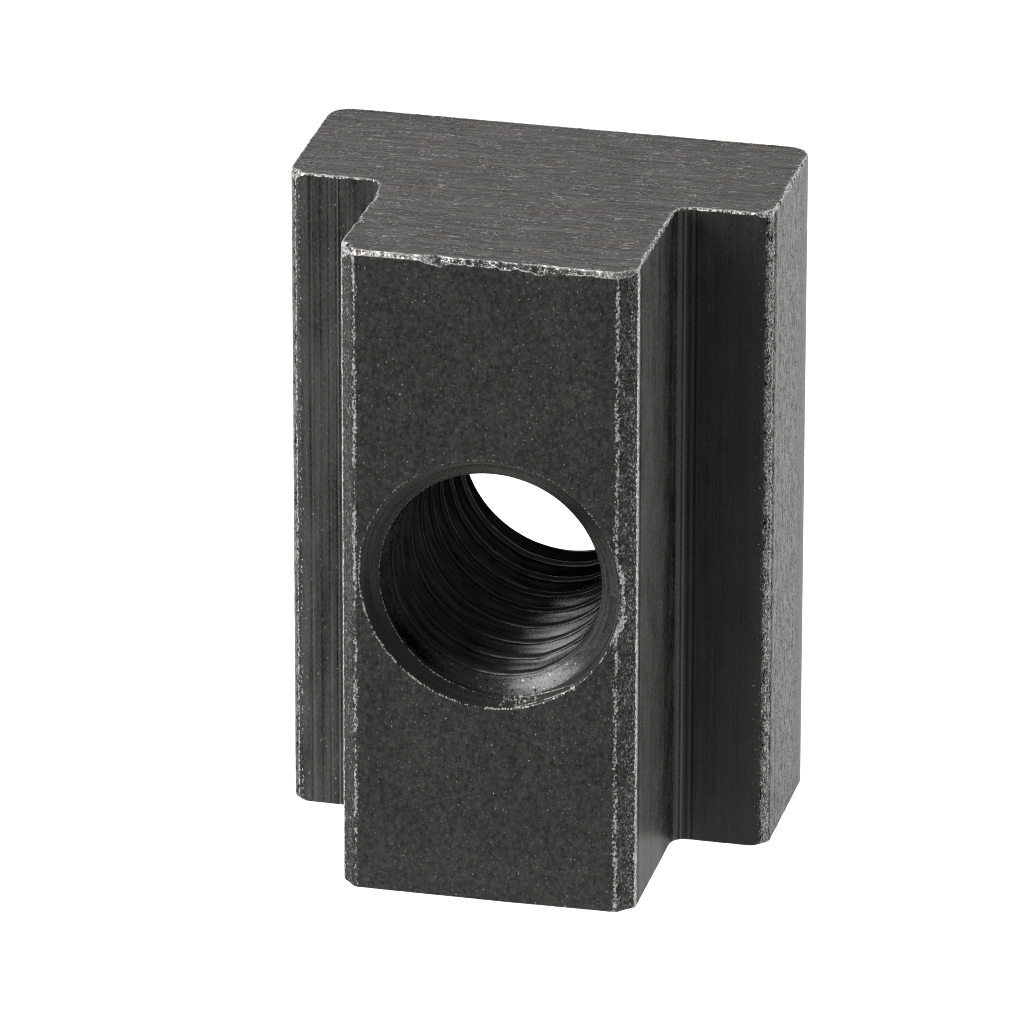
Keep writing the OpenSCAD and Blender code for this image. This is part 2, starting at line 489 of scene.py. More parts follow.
# ------------------------------------------------- faces, sharp edges, attributes
me = nut.data
nv, nf = len(me.vertices), len(me.polygons)
co = np.zeros(nv * 3)
me.vertices.foreach_get("co", co)
co = co.reshape(-1, 3) / MM
fc, fn = np.zeros(nf * 3), np.zeros(nf * 3)
me.polygons.foreach_get("center", fc)
me.polygons.foreach_get("normal", fn)
fc, fn = fc.reshape(-1, 3) / MM, fn.reshape(-1, 3)
rad = np.hypot(fc[:, 0] - HX, fc[:, 2] - HZ)
towards = ((fc[:, 0] - HX) * fn[:, 0] + (fc[:, 2] - HZ) * fn[:, 2]) / np.maximum(rad, 1e-6)
in_hole = (rad < 4.3) & ((towards < -0.15) | ((rad < 4.03) & (fc[:, 1] > Y0 + 0.5) & (fc[:, 1] < YB - 0.5)))
in_hole &= (fc[:, 1] > Y0 + 1e-4) & (fc[:, 1] < YB - 1e-4)
on_end = (np.abs(fn[:, 2]) > 0.8) & ((fc[:, 2] < 0.12) | (fc[:, 2] > L - 0.12)) & ~in_hole
on_front = (fn[:, 1] < -0.2) & (fc[:, 1] < Y0 + 0.58) & ~in_hole & ~on_end
deep = np.minimum(fc[:, 1] - Y0, YB - fc[:, 1])
in_mouth = in_hole & (np.abs(rad + deep - 4.158) < 0.06) & (np.abs(fn[:, 1]) > 0.4)
on_crest = in_hole & ~in_mouth & (rad < 3.47) & (np.abs(fn[:, 1]) < 0.5)
on_side = (np.abs(fc[:, 0]) > FW - 0.25) & (fc[:, 1] > YS) & (np.abs(fn[:, 0]) > 0.35) & ~on_end
kind = np.where(on_crest, 5, np.where(in_mouth, 3, np.where(in_hole, 4, np.where(on_end, 2, np.where(on_front, 1, np.where(on_side, 6, 0))))))

loops_v = np.zeros(len(me.loops), int)
loops_e = np.zeros(len(me.loops), int)
me.loops.foreach_get("vertex_index", loops_v)
me.loops.foreach_get("edge_index", loops_e)
start, total = np.zeros(nf, int), np.zeros(nf, int)
me.polygons.foreach_get("loop_start", start)
me.polygons.foreach_get("loop_total", total)
face_of = np.repeat(np.arange(nf), total)
order = np.argsort(loops_e, kind="stable")
e_sorted, f_sorted = loops_e[order], face_of[order]
ne = len(me.edges)
first = np.searchsorted(e_sorted, np.arange(ne))
count = np.bincount(loops_e, minlength=ne)
two = count == 2
fa = f_sorted[np.minimum(first, len(f_sorted) - 1)]
fb = f_sorted[np.minimum(first + 1, len(f_sorted) - 1)]
angle = np.degrees(np.arccos(np.clip((fn[fa] * fn[fb]).sum(1), -1, 1)))
sharp = (angle > 32) | (in_hole[fa] != in_hole[fb]) | ~two
a = me.attributes.get("sharp_edge") or me.attributes.new("sharp_edge", "BOOLEAN", "EDGE")
a.data.foreach_set("value", sharp)
me.polygons.foreach_set("use_smooth", np.ones(nf, bool))
me.polygons.foreach_set("material_index", kind)


def place_on_outline(p):
    """The outline point nearest to each vertex, for the wear along the ends."""
    out, far_in = np.zeros(len(p), int), np.zeros(len(p))
    for i in range(0, len(p), 4000):
        d = (p[i:i + 4000, None, 0] - xy[None, :, 0]) ** 2 + (p[i:i + 4000, None, 1] - xy[None, :, 1]) ** 2
        out[i:i + 4000] = d.argmin(1)
        far_in[i:i + 4000] = np.sqrt(d.min(1))
    return out, far_in


near, edge_in = place_on_outline(co[:, :2])
wear_h = np.where(co[:, 2] > L / 2, H_TOP[near], H_BOT[near])
edge_in = np.maximum(edge_in - np.where(co[:, 2] > L / 2, I_TOP[near], I_BOT[near]), 0)
for name, values in (("edge_height", wear_h), ("edge_in", edge_in)):
    a = me.attributes.new(name, "FLOAT", "POINT")
    a.data.foreach_set("value", values.astype(np.float32))
me.update()

# ------------------------------------------------------------------- materials
class V:
    """A number inside a material, with the usual arithmetic."""

    def __init__(self, shader, socket):
        self.shader, self.socket = shader, socket

    def __add__(self, o):
        return self.shader.math("ADD", self, o)

    __radd__ = __add__

    def __sub__(self, o):
        return self.shader.math("SUBTRACT", self, o)

    def __rsub__(self, o):
        return self.shader.math("SUBTRACT", o, self)

    def __mul__(self, o):
        return self.shader.math("MULTIPLY", self, o)

    __rmul__ = __mul__

    def __truediv__(self, o):
        return self.shader.math("DIVIDE", self, o)

    def __abs__(self):
        return self.shader.math("ABSOLUTE", self)

    def __neg__(self):
        return self.shader.math("MULTIPLY", self, -1.0)


class Shader:
    """A material in the making. X, Y and Z are the place in the block in millimetres."""

    def __init__(self, name):
        self.material = bpy.data.materials.new(name)
        self.material.use_nodes = True
        self.tree = self.material.node_tree
        self.tree.nodes.clear()
        self.out = self.new("ShaderNodeOutputMaterial")
        self.bsdf = self.new("ShaderNodeBsdfPrincipled")
        self.tree.links.new(self.bsdf.outputs[0], self.out.inputs[0])
        place = self.new("ShaderNodeTexCoord")
        scale = self.new("ShaderNodeVectorMath", operation="SCALE")
        self.tree.links.new(place.outputs["Object"], scale.inputs[0])
        scale.inputs["Scale"].default_value = 1 / MM
        parts = self.new("ShaderNodeSeparateXYZ")
        self.tree.links.new(scale.outputs[0], parts.inputs[0])
        self.X, self.Y, self.Z = (V(self, o) for o in parts.outputs)

    def new(self, kind, **values):
        n = self.tree.nodes.new(kind)
        for k, v in values.items():
            setattr(n, k, v)
        return n

    def put(self, socket, value):
        if isinstance(value, V):
            self.tree.links.new(value.socket, socket)
        else:
            socket.default_value = value

    def math(self, op, *args, clamp=False):
        n = self.new("ShaderNodeMath", operation=op, use_clamp=clamp)
        for i, v in enumerate(args):
            self.put(n.inputs[i], v)
        return V(self, n.outputs[0])

    def least(self, a, b):
        return self.math("MINIMUM", a, b)

    def most(self, a, *more):
        for b in more:
            a = self.math("MAXIMUM", a, b)
        return a

    def clamp(self, a):
        return self.math("ADD", a, 0.0, clamp=True)

    def smooth(self, lo, hi, v):
        """0 below lo and 1 above hi, or the other way round when lo is the higher."""
        if lo > hi:
            return 1.0 - self.smooth(hi, lo, v)
        n = self.new("ShaderNodeMapRange", interpolation_type="SMOOTHSTEP")
        self.put(n.inputs["Value"], v)
        n.inputs["From Min"].default_value, n.inputs["From Max"].default_value = lo, hi
        return V(self, n.outputs[0])

    def line(self, d, half):
        """1 on a line and 0 further than half away from it."""
        return 1.0 - self.smooth(0.0, half, abs(d))

    def point(self, x, y, z):
        n = self.new("ShaderNodeCombineXYZ")
        for i, v in enumerate((x, y, z)):
            self.put(n.inputs[i], v)
        return V(self, n.outputs[0])

    def noise(self, sx, sy, sz, seed=0.0, detail=2.0, rough=0.5, distort=0.0, at=None):
        """Noise with features of 1/s millimetres each way, about 0.2 to 0.8 round 0.5."""
        x, y, z = at or (self.X, self.Y, self.Z)
        n = self.new("ShaderNodeTexNoise")
        n.inputs["Scale"].default_value = 1.0
        n.inputs["Detail"].default_value = detail
        n.inputs["Roughness"].default_value = rough
        n.inputs["Distortion"].default_value = distort
        self.put(n.inputs["Vector"], self.point(x * sx + seed, y * sy + seed * 0.7, z * sz - seed * 1.3))
        return V(self, n.outputs[0])

    def grit(self, amount, grain, soft=0.16):
        """Grit out of a noise: none for an amount of 0, nearly solid for 1."""
        return self.smooth(0.0, soft, grain - 0.78 + 0.52 * amount)

    def tone(self, albedo):
        """A slightly warm grey of that brightness."""
        return self.colour((0.0, 0.0, 0.0), (1.0, 0.99, 0.975), albedo)

    def value(self, name):
        n = self.new("ShaderNodeAttribute", attribute_name=name)
        return V(self, n.outputs["Fac"])

    def blend(self, a, b, f):
        return a + (b - a) * f

    def colour(self, dark, light, f):
        """From one plain colour to another."""
        n = self.new("ShaderNodeMix", data_type="RGBA")
        n.inputs[6].default_value, n.inputs[7].default_value = (*dark, 1), (*light, 1)
        self.put(n.inputs[0], f)
        return V(self, n.outputs[2])

    def mixed(self, a, b, f):
        """From one colour that varies to a plain or another varying one."""
        n = self.new("ShaderNodeMix", data_type="RGBA")
        for i, c in ((6, a), (7, b)):
            if isinstance(c, V):
                self.put(n.inputs[i], c)
            else:
                n.inputs[i].default_value = (*c, 1)
        self.put(n.inputs[0], f)
        return V(self, n.outputs[2])

    def finish(self, colour, metal, rough, height, ior=1.4):
        b = self.bsdf.inputs
        self.put(b["Base Color"], colour)
        self.put(b["Metallic"], metal)
        self.put(b["Roughness"], rough)
        b["IOR"].default_value = ior
        n = self.new("ShaderNodeBump")
        n.inputs["Strength"].default_value = 1.0
        n.inputs["Distance"].default_value = MM
        self.put(n.inputs["Height"], height)
        self.tree.links.new(n.outputs[0], b["Normal"])
        return self.material


STEEL_DARK, STEEL_LIGHT = (0.36, 0.357, 0.35), (0.88, 0.875, 0.86)


def end_wear(s, fine, coarse):
    """Bare metal along the broken edges of the upper end, seen from the side: a crest, a lower rim and grit between."""
    t = L - s.Z
    h = s.value("edge_height")
    inside = s.smooth(0.02, -0.02, t - h)
    ax = abs(s.X)
    on_front = s.smooth(-5.2, -5.4, s.Y)
    left = on_front * s.smooth(-1.4, -2.2, s.X)
    right = on_front * s.smooth(3.0, 3.6, s.X)
    ledge = s.smooth(5.2, 5.4, ax) * s.smooth(0.9, 0.7, s.Y)
    corner = s.smooth(7.05, 7.3, ax) * s.smooth(0.9, 0.7, s.Y)
    east = s.smooth(4.5, 4.7, s.X) * (1.0 - on_front)
    quiet = s.smooth(-0.9, -0.6, s.Y) * s.smooth(-5.35, -5.2, s.X) * s.smooth(-4.4, -4.6, s.X)
    crest = s.most(s.line(t, 0.05) * s.most(s.smooth(0.36, 0.44, coarse), 0.85 * ledge) * (1.0 - 0.6 * quiet),
                   s.line(t, 0.075) * on_front * s.smooth(1.4, 1.9, s.X))
    rim = on_front * s.line(t - h + 0.015, 0.034) * s.smooth(0.34, 0.46, coarse + 0.4 * (fine - 0.5) + 0.12 * left)
    # between them: torn curls in the middle, a smeared strip on the left, a dull patch on the right
    tear = s.noise(6, 5, 8, 72.0, 1.0, distort=0.4)
    curl = on_front * s.line(tear - 0.5, 0.045) * s.smooth(0.36, 0.5, coarse)
    blob = s.noise(5.0, 3, 10, 73.0, 1.0)
    smear = left * s.smooth(0.40, 0.52, blob + 0.22 * (t / h - 0.35)) * s.smooth(0.30, 0.42, fine)
    field = s.most(s.grit(0.42 + 0.16 * (1.0 - on_front) + 0.24 * corner + 0.18 * east, fine, 0.30), 0.8 * ledge * s.smooth(0.36, 0.52, fine),
                   0.85 * curl, 0.85 * smear, right * (0.46 + 0.9 * (fine - 0.5))) * inside
    return s.most(crest, 0.9 * rim, field)


def corner_wear(s, fine, coarse, grain):
    """Bare metal along the long corners."""
    wander = (coarse - 0.5) * 0.26
    mix = fine + 0.5 * (grain - 0.5)
    high = s.smooth(15.0, 20.5, s.Z)
    clump = s.smooth(0.30, 0.66, s.noise(1.0, 1.0, 0.9, 75.0, 1.0))
    tear = s.line(s.noise(8, 8, 6, 74.0, 1.0, distort=0.5) - 0.5, 0.05) * s.smooth(0.40, 0.56, coarse)
    q = (s.X - NX1) + (s.Y - Y0)
    w_r = s.most(s.grit((0.55 + 1.2 * coarse + 0.7 * clump + 0.4 * high) * s.line(q - 0.565 - 0.7 * wander, 0.19), mix),
                 0.64 * s.grit(s.line(q + 0.525 - 0.8 * wander, 0.19) * (0.58 + 0.75 * coarse), mix, 0.34),
                 0.42 * tear * s.smooth(0.62, 0.42, abs(q)),
                 0.50 * s.grit(0.52 * s.line(q - 0.22, 0.6), fine, 0.28))
    q = (NX0 - s.X) + (s.Y - Y0)
    w_l = s.most(0.9 * s.grit(1.5 * s.smooth(0.31, 0.45, q + 0.3 * wander) * s.smooth(0.66, 0.60, q), mix),
                 0.56 * s.grit(s.line(q + 0.52 - 0.8 * wander, 0.17) * (0.15 + 0.7 * coarse + 0.75 * clump), mix, 0.34),
                 0.22 * tear * s.smooth(0.62, 0.42, abs(q)),
                 0.50 * s.grit(0.36 * s.line(q, 0.6), fine, 0.28))
    # the flange's front corners: a granular band on the right one, a thin line on the left one
    thin = s.noise(26, 26, 17, 18.0, 0.0) + 0.40 * (fine - 0.5) + 0.2 * (coarse - 0.5)
    q = (abs(s.X) - FW) + (s.Y - YS)
    band = s.smooth(-0.33, 0.06, q + 0.5 * wander) * s.smooth(0.44, 0.37, q)
    w_fr = 0.66 * s.grit(0.80 * band + 0.20 * s.line(q - 0.10, 0.08) + 0.26 * s.line(q - 0.29, 0.07) - 0.10 * s.line(q - 0.195, 0.03), thin, 0.40)
    w_fl = s.most(0.75 * s.grit(s.line(q + 0.10, 0.11) * (0.45 + 0.8 * coarse), mix, 0.25), 0.6 * s.grit(0.40 * s.line(q + 0.32, 0.2), fine))
    w_f = s.blend(w_fl, w_fr, s.smooth(-1.0, 1.0, s.X)) * s.smooth(YS + 1.2, YS + 1.0, s.Y)
    q = (abs(s.X) - FW) - (s.Y - YB)
    w_b = s.grit(0.46 * s.line(q, 0.6), mix)
    return s.most(s.most(w_r, w_l) * s.smooth(Y0 + 1.6, Y0 + 1.4, s.Y), w_f, w_b)


def bare(s, oxide, fine, wear):
    """The oxide, and bare steel of its own uneven brightness where it is worn off."""
    return s.mixed(oxide, s.colour(STEEL_DARK, STEEL_LIGHT, s.smooth(0.36, 0.68, fine)), wear)


def drawn_steel():
    """The neck's sides, the roots, the shoulders and the back: black oxide over die lines, with painted light on the
    neck's sides and painted shade on the right shoulder, in the right root's crease and beside the neck's right corner.
    """
    s = Shader("black_oxide_drawn")
    fine = s.noise(16, 16, 12, 3.0, 1.0)
    coarse = s.noise(4, 4, 3, 4.0, 1.0)
    lines = s.noise(4.4, 4.4, 0.13, 11.0, 3.0, 0.62)
    grain = s.noise(24, 24, 8, 15.0, 0.0)
    cloud = s.noise(1.3, 1.3, 0.7, 16.0, 1.0)
    ax = abs(s.X)
    right = s.smooth(-1.0, 1.0, s.X)
    calm = s.smooth(Y0 + 0.9, Y0 + 1.1, s.Y) * s.smooth(FW - 0.42, FW - 0.55, ax) * (0.5 + 0.45 * right)
    wear = s.clamp(s.most(end_wear(s, fine, coarse), corner_wear(s, fine, coarse, grain) * (1.0 - calm)))
    q = (s.X - NX1) + (s.Y - YS + RR)          # way round the right root: 0 on the neck's side, 1 on the shoulder
    neck = s.smooth(0.02, -0.02, ax - 4.80)
    shoulder = s.smooth(5.0, 5.3, ax)
    # die lines at fixed places in the right root, and on the left shoulder; the last term of root is painted shade in
    # the crease where the neck's side runs into the root
    root = (0.45 * s.smooth(0.28, 0.37, q) * s.smooth(0.58, 0.54, q) - 0.45 * s.line(q - 0.62, 0.06) + 1.15 * s.line(q - 0.715, 0.07)
            - 0.30 * s.line(q - 0.90, 0.10) + 0.45 * s.line(q - 1.0, 0.06) - 0.55 * s.line(q - 1.11, 0.05) + 0.15 * s.line(q - 1.18, 0.04)
            - 0.60 * s.smooth(-2.1, -0.9, s.Y) * s.smooth(0.33, 0.27, q))
    left = 0.6 * s.line(s.X + 6.975, 0.03) - 0.45 * s.line(s.X + 7.045, 0.035) + 1.0 * s.line(s.X + 6.14, 0.032) - 0.5 * s.line(s.X + 6.205, 0.03) \
        - 0.55 * s.line(s.X + 6.085, 0.035) - 0.35 * s.line(s.X + 6.70, 0.05) - 0.35 * s.line(s.X + 6.46, 0.03) + 0.5 * s.line(s.X + 6.385, 0.035) \
        - 0.5 * s.line(s.X + 5.75, 0.025)
    back = s.smooth(2.0, 3.0, s.Y)
    marks = (root * right + left * (1.0 - right)) * (1.0 - back)
    # edge: a painted shade line down the neck's right side just behind its front corner
    edge = 0.75 * s.line((s.X - NX1) + (s.Y - Y0) - 0.88, 0.14) * (1.0 - back)
    # painted light and shade: the neck's sides get a much lighter base colour for the light they catch, and the right
    # shoulder a darker one than the left for the neck's shade on it
    albedo = s.blend(s.blend(s.blend(0.036, 0.088, neck), s.blend(0.046, 0.024, right), shoulder), 0.050, back)
    swing = s.blend(s.blend(s.blend(2.6, 1.3, right), 3.0, shoulder * (1.0 - right)), 2.2, back)
    marks = marks - edge
    vary = 1.0 + (lines - 0.5) * swing + (grain - 0.5) * 1.1 + (cloud - 0.5) * 0.9 + (fine - 0.5) * 0.7 + marks
    oxide = s.tone(albedo * s.most(vary, 0.12))
    rough = 0.38 + (cloud - 0.5) * 0.12 + (grain - 0.5) * 0.06
    height = (lines - 0.5) * 0.016 + (grain - 0.5) * 0.0018
    s.put(s.bsdf.inputs["Specular IOR Level"], s.most(0.5 + 0.55 * marks, 0.0))
    return s.finish(bare(s, oxide, fine, wear), 0.7 * wear, rough, height)


def side_steel():
    """The flange's two sides: glossier, scuffed with fine slanting scratches, with a lighter base colour as painted
    light.
    """
    s = Shader("black_oxide_side")
    fine = s.noise(16, 16, 12, 3.0, 1.0)
    coarse = s.noise(4, 4, 3, 4.0, 1.0)
    grain = s.noise(24, 24, 8, 15.0, 0.0)
    lines = s.noise(9, 11, 0.7, 61.0, 2.0, 0.6)
    scuff_a = s.noise(1, 22, 1.6, 62.0, 0.0, at=(s.X, s.Y * 0.94 + s.Z * 0.34, s.Z * 0.94 - s.Y * 0.34))
    scuff_b = s.noise(1, 20, 2.0, 63.0, 0.0, at=(s.X, s.Y * 0.97 - s.Z * 0.24, s.Z * 0.97 + s.Y * 0.24))
    wear = s.clamp(s.most(end_wear(s, fine, coarse), corner_wear(s, fine, coarse, grain)))
    scuff = s.smooth(0.0, 0.12, scuff_a - 0.60) + s.smooth(0.0, 0.12, scuff_b - 0.62)
    scrape = s.line(s.noise(1, 2.2, 0.9, 64.0, 0.0, distort=1.2) - 0.5, 0.014) * s.smooth(0.44, 0.56, coarse)
    pebble = s.noise(19, 19, 13, 65.0, 1.0)
    q = (abs(s.X) - FW) + (s.Y - YS)
    bands = 0.25 * s.line(s.Y - 0.80, 0.16) - 0.16 * s.line(q - 0.44, 0.09) - 0.12 * s.line(s.Y - 1.2, 0.2) + 0.25 * s.smooth(4.4, 5.2, s.Y)
    plain = s.smooth(3.6, 4.6, s.Y)
    marks = ((lines - 0.5) * 1.6 + (pebble - 0.5) * 3.4 + (coarse - 0.5) * 1.5) * (1.0 - 0.5 * plain) \
        + s.most(0.9 * s.clamp(scuff), 0.9 * scrape) * (1.0 - plain) - 0.12 + bands
    # painted light: a lighter base colour than the drawn faces, for the light that the flange's sides catch
    oxide = s.tone(0.055 * s.most(1.0 + marks * 1.5, 0.15))
    s.put(s.bsdf.inputs["Specular IOR Level"], s.most(0.44 + 0.7 * marks, 0.02))
    rough = 0.30 + (fine - 0.5) * 0.1
    height = (lines - 0.5) * 0.005 + (pebble - 0.5) * 0.0035
    return s.finish(bare(s, oxide, fine, wear), 0.7 * wear, rough, height)


def face_steel():
    """The neck's face: black oxide, softly mottled, with scattered pale specks."""
    s = Shader("black_oxide_face")
    fine = s.noise(16, 16, 12, 3.0, 1.0)
    coarse = s.noise(4, 4, 3, 4.0, 1.0)
    mottle = s.noise(8, 8, 6.5, 15.0, 1.0)
    speck = s.noise(15, 15, 13, 36.0, 0.0)
    cloud = s.noise(0.7, 0.7, 0.5, 33.0, 1.0)
    wear = s.most(end_wear(s, fine, coarse), corner_wear(s, fine, coarse, speck))
    dx, dz = s.X - HX, s.Z - HZ
    r = s.math("SQRT", dx * dx + dz * dz)
    faint = 1.0 - 0.40 * s.smooth(-0.2, 0.6, dz / r) - 0.33 * s.smooth(0.88, 0.98, (0.66 * dx - 0.75 * dz) / r)
    rim = 0.7 * s.grit(s.line(r - 4.178, 0.036) * (0.25 + 1.2 * coarse) * faint, fine, 0.22)
    # the rim is bruised where it comes near the neck's corner
    bruise = s.line(s.Z - 9.85, 0.60)
    trail = r - 4.21 - 0.16 * (coarse - 0.5) - 0.06 * bruise
    near_r = 0.9 * s.grit((0.72 + 0.8 * coarse + 0.4 * bruise) * s.most(s.line(trail, 0.12), bruise * s.line(trail, 0.19))
                           * s.smooth(3.75, 3.95, s.X) * s.smooth(12.2, 11.5, s.Z) * s.smooth(8.9, 9.5, s.Z), fine, 0.24)
    knot = s.smooth(0.17, 0.04, s.math("SQRT", (dx - 2.66) * (dx - 2.66) + (dz + 3.20) * (dz + 3.20)))
    wear = s.clamp(s.most(wear, rim, near_r, 0.5 * s.grit(0.95 * knot, fine, 0.3)))
    specks = s.smooth(0.0, 0.10, speck - 0.80 + 0.14 * cloud) + 0.5 * s.smooth(0.0, 0.16, fine - 0.64)
    strip_l = s.smooth(-0.50, -0.42, (NX0 - s.X) + (s.Y - Y0))
    strip_r = s.smooth(-0.50, -0.42, (s.X - NX1) + (s.Y - Y0))
    tear = s.noise(8, 8, 6, 74.0, 1.0, distort=0.5)
    strips = 0.6 * strip_l + strip_r
    vary = 1.0 + (mottle - 0.5) * 2.2 + (fine - 0.5) * (1.1 + 4.0 * strip_l + 3.5 * strip_r) + (cloud - 0.5) * 0.6 + (tear - 0.5) * 3.0 * strips
    oxide = s.tone((0.028 - 0.015 * strip_l + 0.006 * strip_r) * s.most(vary, 0.12) + 0.13 * s.clamp(specks))
    rough = 0.42 + (mottle - 0.5) * 0.3
    height = (mottle - 0.5) * 0.008 + (fine - 0.5) * 0.018 * (strip_l + strip_r) + (tear - 0.5) * 0.026 * strips
    return s.finish(bare(s, oxide, fine, wear), 0.7 * wear, rough, height)


def sawn_steel():
    """The two ends: fine saw lines across the block with small glints."""
    s = Shader("black_oxide_sawn")
    fine = s.noise(16, 16, 12, 3.0, 1.0)
    coarse = s.noise(4, 4, 3, 4.0, 1.0)
    bend = (s.noise(0.35, 0.35, 0.35, 41.0, 0.0) - 0.5) * 0.5
    at = (s.X, s.Y + bend, s.Z)
    saw = s.noise(0.8, 6.0, 1, 43.0, 2.0, 0.65, at=at)
    hair = s.noise(3.6, 19.0, 1, 44.0, 1.0, 0.6, at=at)
    streak = s.noise(0.35, 5.5, 1, 48.0, 2.0, 0.65, at=at)
    flash = s.noise(2.4, 12.0, 1, 47.0, 1.0, at=at)
    # patches where the blade chattered
    chatter = s.smooth(0.48, 0.58, s.noise(0.8, 2.4, 1, 49.0, 2.0, 0.6))
    crumb = s.noise(15, 22, 1, 50.0, 1.0)
    grain = s.noise(21, 30, 1, 45.0, 0.0)
    inset = s.value("edge_in")
    h = s.value("edge_height")
    up = s.smooth(L / 2 - 1, L / 2 + 1, s.Z)
    quiet = s.smooth(-0.9, -0.6, s.Y) * s.smooth(-5.35, -5.2, s.X) * s.smooth(-4.4, -4.6, s.X)
    crest = up * s.line(inset, 0.06) * s.smooth(0.38, 0.48, coarse) * (1.0 - 0.6 * quiet)
    east = s.smooth(4.3, 4.6, s.X) * s.smooth(-5.2, -5.0, s.Y)
    wear = s.clamp(s.most(crest, s.grit(up * s.line(inset, 0.22) * (0.55 * s.smooth(0.04, 0.2, h) + 0.32 * east), fine)))
    glint = 0.5 * s.smooth(0.0, 0.12, hair - 0.68 + 0.25 * (coarse - 0.5)) + s.smooth(0.0, 0.07, flash - 0.69) \
        + 0.8 * chatter * s.smooth(0.0, 0.12, crumb - 0.62)
    vary = 1.0 + (saw - 0.5) * 3.8 + (hair - 0.5) * 4.4 + (grain - 0.5) * 2.4 + (streak - 0.5) * 4.2 + chatter * (crumb - 0.52) * 9.0
    vary = 0.0425 * s.most(vary, 0.05) + 0.30 * s.clamp(glint)
    warm = s.smooth(0.46, 0.66, s.noise(0.8, 1.2, 1, 46.0, 2.0))
    oxide = s.mixed(s.tone(vary), s.colour((0.0, 0.0, 0.0), (1.0, 0.94, 0.88), vary), warm)
    rough = 0.40 + (hair - 0.5) * 0.4
    height = (saw - 0.5) * 0.030 + (hair - 0.5) * 0.020 + (grain - 0.5) * 0.004 + (streak - 0.5) * 0.020 + (crumb - 0.5) * 0.018 * chatter
    return s.finish(bare(s, oxide, fine, wear), 0.7 * wear, rough, height)


def mouth_steel():
    """The countersinks: faint turned rings and a broken bright rim, with painted light on the cone's right side and top
    and painted shade at its lower left.
    """
    s = Shader("black_oxide_mouth")
    dx, dz = s.X - HX, s.Z - HZ
    r = s.math("SQRT", dx * dx + dz * dz)
    turn = s.math("ARCTAN2", dz, dx)
    depth = s.least(s.Y - Y0, YB - s.Y)
    fine = s.noise(16, 16, 12, 3.0, 1.0)
    coarse = s.noise(4, 4, 3, 4.0, 1.0)
    rings = s.noise(1.2, 14, 0, 51.0, 1.0, at=(turn, r, s.Z))
    front = s.smooth(0.0, -1.0, s.Y)
    faint = 1.0 - 0.40 * s.smooth(-0.2, 0.6, dz / r) - 0.33 * s.smooth(0.88, 0.98, (0.66 * dx - 0.75 * dz) / r)
    rim = 0.6 * s.grit(s.line(depth - 0.01, 0.034) * (0.25 + 1.1 * coarse) * faint, fine, 0.22)
    # the cone ends in a sharp edge where the thread's first groove opens
    share = s.math("FRACT", turn / (2 * math.pi))
    first = depth - (0.93 - 0.787 * share)
    ring = front * s.grit(s.line(first + 0.02, 0.045) * (0.15 + 1.2 * coarse) * s.smooth(0.20, 0.45, share) * s.smooth(0.77, 0.68, share), fine)
    low = s.line(share - 0.79, 0.085)
    chips = front * s.grit(0.66 * low * s.smooth(0.0, 0.08, depth), 0.45 * fine + 0.55 * s.noise(8, 8, 8, 58.0, 1.0), 0.30)
    # two burrs that the drill's lip folded over, and a knot where they meet the rim
    flap = front * s.smooth(0.772, 0.788, share) * s.smooth(0.866, 0.846, share)
    u, v = share - 0.785, share - 0.812
    fold_a = depth - 0.255 + 28.0 * u * u
    fold_b = depth - 0.065 + 28.0 * v * v
    fold = flap * s.most(s.line(fold_a, 0.022), s.line(fold_b, 0.022)) * s.smooth(0.34, 0.46, coarse)
    shade = flap * s.most(s.line(fold_a + 0.035, 0.03), s.line(fold_b - 0.04, 0.03))
    knot = front * s.smooth(0.17, 0.04, s.math("SQRT", (dx - 2.66) * (dx - 2.66) + (dz + 3.20) * (dz + 3.20)))
    wear = s.clamp(s.most(rim, 0.24 * ring, 0.6 * chips, 0.55 * fold, 0.5 * s.grit(0.95 * knot, fine, 0.3)))
    # painted light and shade: the cone's base colour is lighter on its right side and towards its top, and darker at
    # its lower left, for how the light falls on it
    pale = s.smooth(0.75, 1.0, dx / r)
    vary = 1.0 + (rings - 0.5) * 2.4 + (fine - 0.5) * 1.8
    painted_shade_low_left = front * s.smooth(0.55, 0.95, (-0.75 * dx - 0.66 * dz) / r)
    up = front * s.most(dz / r + 0.5, 0.0) * s.smooth(0.8, 0.3, dx / r)
    oxide = s.tone((s.blend(0.017, 0.045, pale) + 0.038 * up - 0.008 * painted_shade_low_left) * s.most(vary, 0.2) * (1.0 - 0.8 * shade))
    height = (rings - 0.5) * 0.007 + (fine - 0.5) * 0.003
    return s.finish(bare(s, oxide, fine, wear), 0.7 * wear, 0.40, height)


